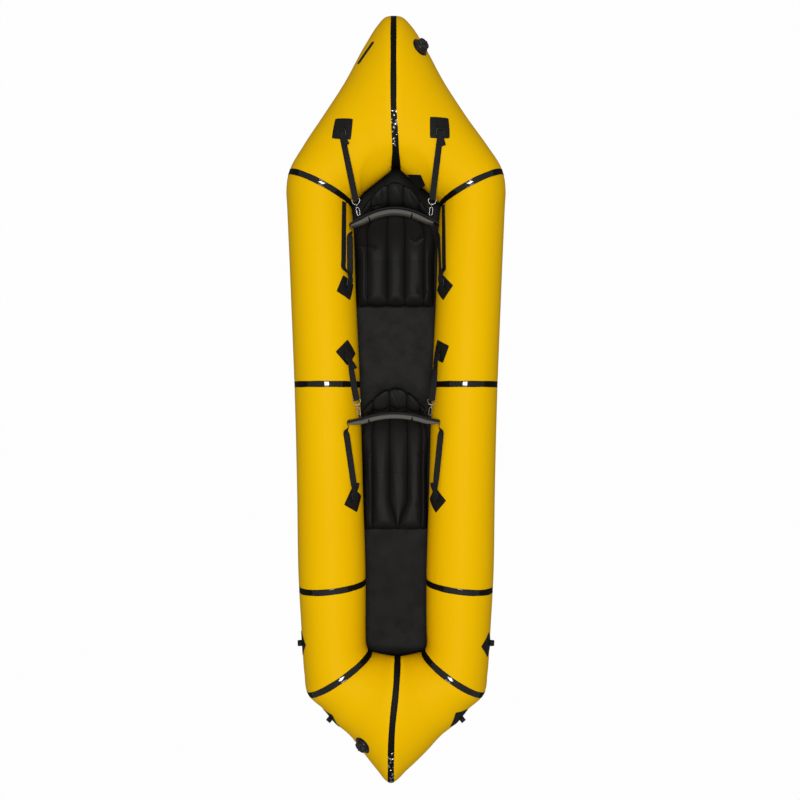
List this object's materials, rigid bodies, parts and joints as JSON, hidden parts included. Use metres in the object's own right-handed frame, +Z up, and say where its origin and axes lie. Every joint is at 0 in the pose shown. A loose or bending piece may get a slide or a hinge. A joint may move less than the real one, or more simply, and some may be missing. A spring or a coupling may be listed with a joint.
{
  "type": "inflatable packraft",
  "caption": "Inflatable packraft with a ring of air tubes, raised pointed ends, a fabric floor, ribbed seats with strapped backrests, screw valves and tie-down loops.",
  "frame": {"origin": "middle of the length and the width, on the floor's underside", "axes": "+X to port, +Y to the stern, +Z up"},
  "size_m": [0.914, 3.1029, 0.3987],
  "materials": {
    "hull_fabric": "semi-gloss coated",
    "seam_tape": "glossy coated",
    "floor_fabric": "satin coated",
    "patch_fabric": "satin coated",
    "webbing": "woven matt",
    "seat_fabric": "satin coated",
    "band_foam": "matt foam",
    "black_plastic": "moulded satin",
    "fitting_metal": "polished"
  },
  "bodies": {
    "hull": {"bow_tie_down_port": "patch_fabric", "bow_tie_down_starboard": "patch_fabric", "bow_tube_port": "hull_fabric", "bow_tube_starboard": "hull_fabric", "bow_valve_body": "black_plastic", "floor_sheet": "floor_fabric", "forward_tie_down_port": "patch_fabric", "forward_tie_down_starboard": "patch_fabric", "front_aft_port_patch": "patch_fabric", "front_aft_starboard_patch": "patch_fabric", "front_aft_strap_port": "webbing", "front_aft_strap_starboard": "webbing", "front_fore_port_patch": "patch_fabric", "front_fore_starboard_patch": "patch_fabric", "front_fore_strap": "webbing", "front_seat_cushion": "seat_fabric", "rear_aft_port_patch": "patch_fabric", "rear_aft_starboard_patch": "patch_fabric", "rear_aft_strap_port": "webbing", "rear_aft_strap_starboard": "webbing", "rear_fore_port_patch": "patch_fabric", "rear_fore_starboard_patch": "patch_fabric", "rear_fore_strap": "webbing", "rear_seat_cushion": "seat_fabric", "seam_tapes": "seam_tape", "side_tube_port": "hull_fabric", "side_tube_starboard": "hull_fabric", "stern_strip": "seam_tape", "stern_tube_port": "hull_fabric", "stern_tube_starboard": "hull_fabric", "stern_valve_body": "black_plastic"},
    "rear_back": {"rear_backrest": "seat_fabric", "rear_back_band": "band_foam", "rear_band_backing": "seat_fabric"},
    "rear_hook_port": {"rear_hook_port": "fitting_metal"},
    "rear_gate_port": {"rear_gate_port": "fitting_metal"},
    "rear_d_ring_port": {"rear_d_ring_port": "fitting_metal"},
    "rear_aft_port_buckle": {"rear_aft_port_buckle": "black_plastic"},
    "rear_fore_port_buckle": {"rear_fore_port_buckle": "black_plastic"},
    "rear_hook_starboard": {"rear_hook_starboard": "fitting_metal"},
    "rear_gate_starboard": {"rear_gate_starboard": "fitting_metal"},
    "rear_d_ring_starboard": {"rear_d_ring_starboard": "fitting_metal"},
    "rear_aft_starboard_buckle": {"rear_aft_starboard_buckle": "black_plastic"},
    "rear_fore_starboard_buckle": {"rear_fore_starboard_buckle": "black_plastic"},
    "front_back": {"front_backrest": "seat_fabric", "front_back_band": "band_foam", "front_band_backing": "seat_fabric"},
    "front_hook_port": {"front_hook_port": "fitting_metal"},
    "front_gate_port": {"front_gate_port": "fitting_metal"},
    "front_d_ring_port": {"front_d_ring_port": "fitting_metal"},
    "front_aft_port_buckle": {"front_aft_port_buckle": "black_plastic"},
    "front_fore_port_buckle": {"front_fore_port_buckle": "black_plastic"},
    "front_hook_starboard": {"front_hook_starboard": "fitting_metal"},
    "front_gate_starboard": {"front_gate_starboard": "fitting_metal"},
    "front_d_ring_starboard": {"front_d_ring_starboard": "fitting_metal"},
    "front_aft_starboard_buckle": {"front_aft_starboard_buckle": "black_plastic"},
    "front_fore_starboard_buckle": {"front_fore_starboard_buckle": "black_plastic"},
    "stern_valve_cap": {"stern_valve_cap": "black_plastic"},
    "bow_valve_cap": {"bow_valve_cap": "black_plastic"}
  },
  "joints": [
    {"name": "rear_back_fold", "type": "hinge", "parent": "hull", "child": "rear_back", "pos_m": [-0.00455, 0.63705, 0.11815], "axis": [1, 0, 0], "range_deg": [0, 50], "deforming": ["rear_fore_strap", "rear_aft_strap_port", "rear_aft_strap_starboard"]},
    {"name": "rear_hook_port_swing", "type": "hinge", "parent": "rear_back", "child": "rear_hook_port", "pos_m": [0.13874, 0.73943, 0.27601], "axis": [0.9932, -0.1167, 0], "range_deg": [0, 30]},
    {"name": "rear_gate_port_open", "type": "hinge", "parent": "rear_hook_port", "child": "rear_gate_port", "pos_m": [0.1361, 0.76329, 0.2814], "axis": [-0.0262, -0.2233, 0.9744], "range_deg": [0, 30], "stiffness_Nm_per_rad": 0.001, "springref_deg": -17.19},
    {"name": "rear_d_ring_port_swing", "type": "hinge", "parent": "rear_hook_port", "child": "rear_d_ring_port", "pos_m": [0.14362, 0.78095, 0.28565], "axis": [0.9932, -0.1167, 0], "range_deg": [0, 30]},
    {"name": "rear_aft_port_buckle_turn", "type": "hinge", "parent": "hull", "child": "rear_aft_port_buckle", "pos_m": [0.17669, 1.0624, 0.35104], "axis": [-0.9545, 0.0437, 0.2949], "range_deg": [0, 60]},
    {"name": "rear_fore_port_buckle_turn", "type": "hinge", "parent": "hull", "child": "rear_fore_port_buckle", "pos_m": [0.18568, 0.46769, 0.22729], "axis": [0.5778, -0.0234, 0.8158], "range_deg": [0, 60]},
    {"name": "rear_hook_starboard_swing", "type": "hinge", "parent": "rear_back", "child": "rear_hook_starboard", "pos_m": [-0.14914, 0.73923, 0.27601], "axis": [0.9802, 0.1981, 0], "range_deg": [0, 30]},
    {"name": "rear_gate_starboard_open", "type": "hinge", "parent": "rear_hook_starboard", "child": "rear_gate_starboard", "pos_m": [-0.1591, 0.76127, 0.28049], "axis": [0.037, -0.1831, 0.9824], "range_deg": [0, 30], "stiffness_Nm_per_rad": 0.001, "springref_deg": -17.19},
    {"name": "rear_d_ring_starboard_swing", "type": "hinge", "parent": "rear_hook_starboard", "child": "rear_d_ring_starboard", "pos_m": [-0.15748, 0.78054, 0.28402], "axis": [0.9802, 0.1981, 0], "range_deg": [0, 30]},
    {"name": "rear_aft_starboard_buckle_turn", "type": "hinge", "parent": "hull", "child": "rear_aft_starboard_buckle", "pos_m": [-0.21454, 1.06291, 0.3388], "axis": [-0.9281, -0.1191, -0.3526], "range_deg": [0, 60]},
    {"name": "rear_fore_starboard_buckle_turn", "type": "hinge", "parent": "hull", "child": "rear_fore_starboard_buckle", "pos_m": [-0.18845, 0.46605, 0.23117], "axis": [0.6041, 0.0217, -0.7966], "range_deg": [0, 60]},
    {"name": "front_back_fold", "type": "hinge", "parent": "hull", "child": "front_back", "pos_m": [-0.00455, -0.25699, 0.11815], "axis": [1, 0, 0], "range_deg": [0, 60], "deforming": ["front_fore_strap", "front_aft_strap_port", "front_aft_strap_starboard"]},
    {"name": "front_hook_port_swing", "type": "hinge", "parent": "front_back", "child": "front_hook_port", "pos_m": [0.13601, -0.06299, 0.29099], "axis": [0.9908, -0.1351, 0], "range_deg": [0, 30]},
    {"name": "front_gate_port_open", "type": "hinge", "parent": "front_hook_port", "child": "front_gate_port", "pos_m": [0.13378, -0.03934, 0.28459], "axis": [0.0361, 0.2645, 0.9637], "range_deg": [0, 30], "stiffness_Nm_per_rad": 0.001, "springref_deg": -17.19},
    {"name": "front_d_ring_port_swing", "type": "hinge", "parent": "front_hook_port", "child": "front_d_ring_port", "pos_m": [0.14159, -0.02202, 0.27954], "axis": [0.9908, -0.1351, 0], "range_deg": [0, 30]},
    {"name": "front_aft_port_buckle_turn", "type": "hinge", "parent": "hull", "child": "front_aft_port_buckle", "pos_m": [0.16959, 0.18327, 0.22215], "axis": [-0.5417, -0.157, -0.8258], "range_deg": [0, 60]},
    {"name": "front_fore_port_buckle_turn", "type": "hinge", "parent": "hull", "child": "front_fore_port_buckle", "pos_m": [0.15836, -0.40186, 0.2325], "axis": [0.6115, -0.118, 0.7824], "range_deg": [0, 60]},
    {"name": "front_hook_starboard_swing", "type": "hinge", "parent": "front_back", "child": "front_hook_starboard", "pos_m": [-0.14594, -0.06312, 0.29099], "axis": [0.9824, 0.187, 0], "range_deg": [0, 30]},
    {"name": "front_gate_starboard_open", "type": "hinge", "parent": "front_hook_starboard", "child": "front_gate_starboard", "pos_m": [-0.15567, -0.04087, 0.28705], "axis": [-0.0307, 0.1615, 0.9864], "range_deg": [0, 30], "stiffness_Nm_per_rad": 0.001, "springref_deg": -17.19},
    {"name": "front_d_ring_starboard_swing", "type": "hinge", "parent": "front_hook_starboard", "child": "front_d_ring_starboard", "pos_m": [-0.15385, -0.02155, 0.28394], "axis": [0.9824, 0.187, 0], "range_deg": [0, 30]},
    {"name": "front_aft_starboard_buckle_turn", "type": "hinge", "parent": "hull", "child": "front_aft_starboard_buckle", "pos_m": [-0.19243, 0.18111, 0.24956], "axis": [-0.7279, -0.0223, 0.6853], "range_deg": [0, 60]},
    {"name": "front_fore_starboard_buckle_turn", "type": "hinge", "parent": "hull", "child": "front_fore_starboard_buckle", "pos_m": [-0.16491, -0.40203, 0.24029], "axis": [0.6654, 0.1009, -0.7396], "range_deg": [0, 60]},
    {"name": "stern_valve_cap_turn", "type": "hinge", "parent": "hull", "child": "stern_valve_cap", "pos_m": [0.10031, 1.39841, 0.32459], "axis": [0.6456, 0.3807, 0.662], "range_deg": [0, 90]},
    {"name": "bow_valve_cap_turn", "type": "hinge", "parent": "hull", "child": "bow_valve_cap", "pos_m": [-0.13117, -1.37857, 0.29599], "axis": [-0.6089, -0.4398, 0.6602], "range_deg": [0, 90]}
  ]
}
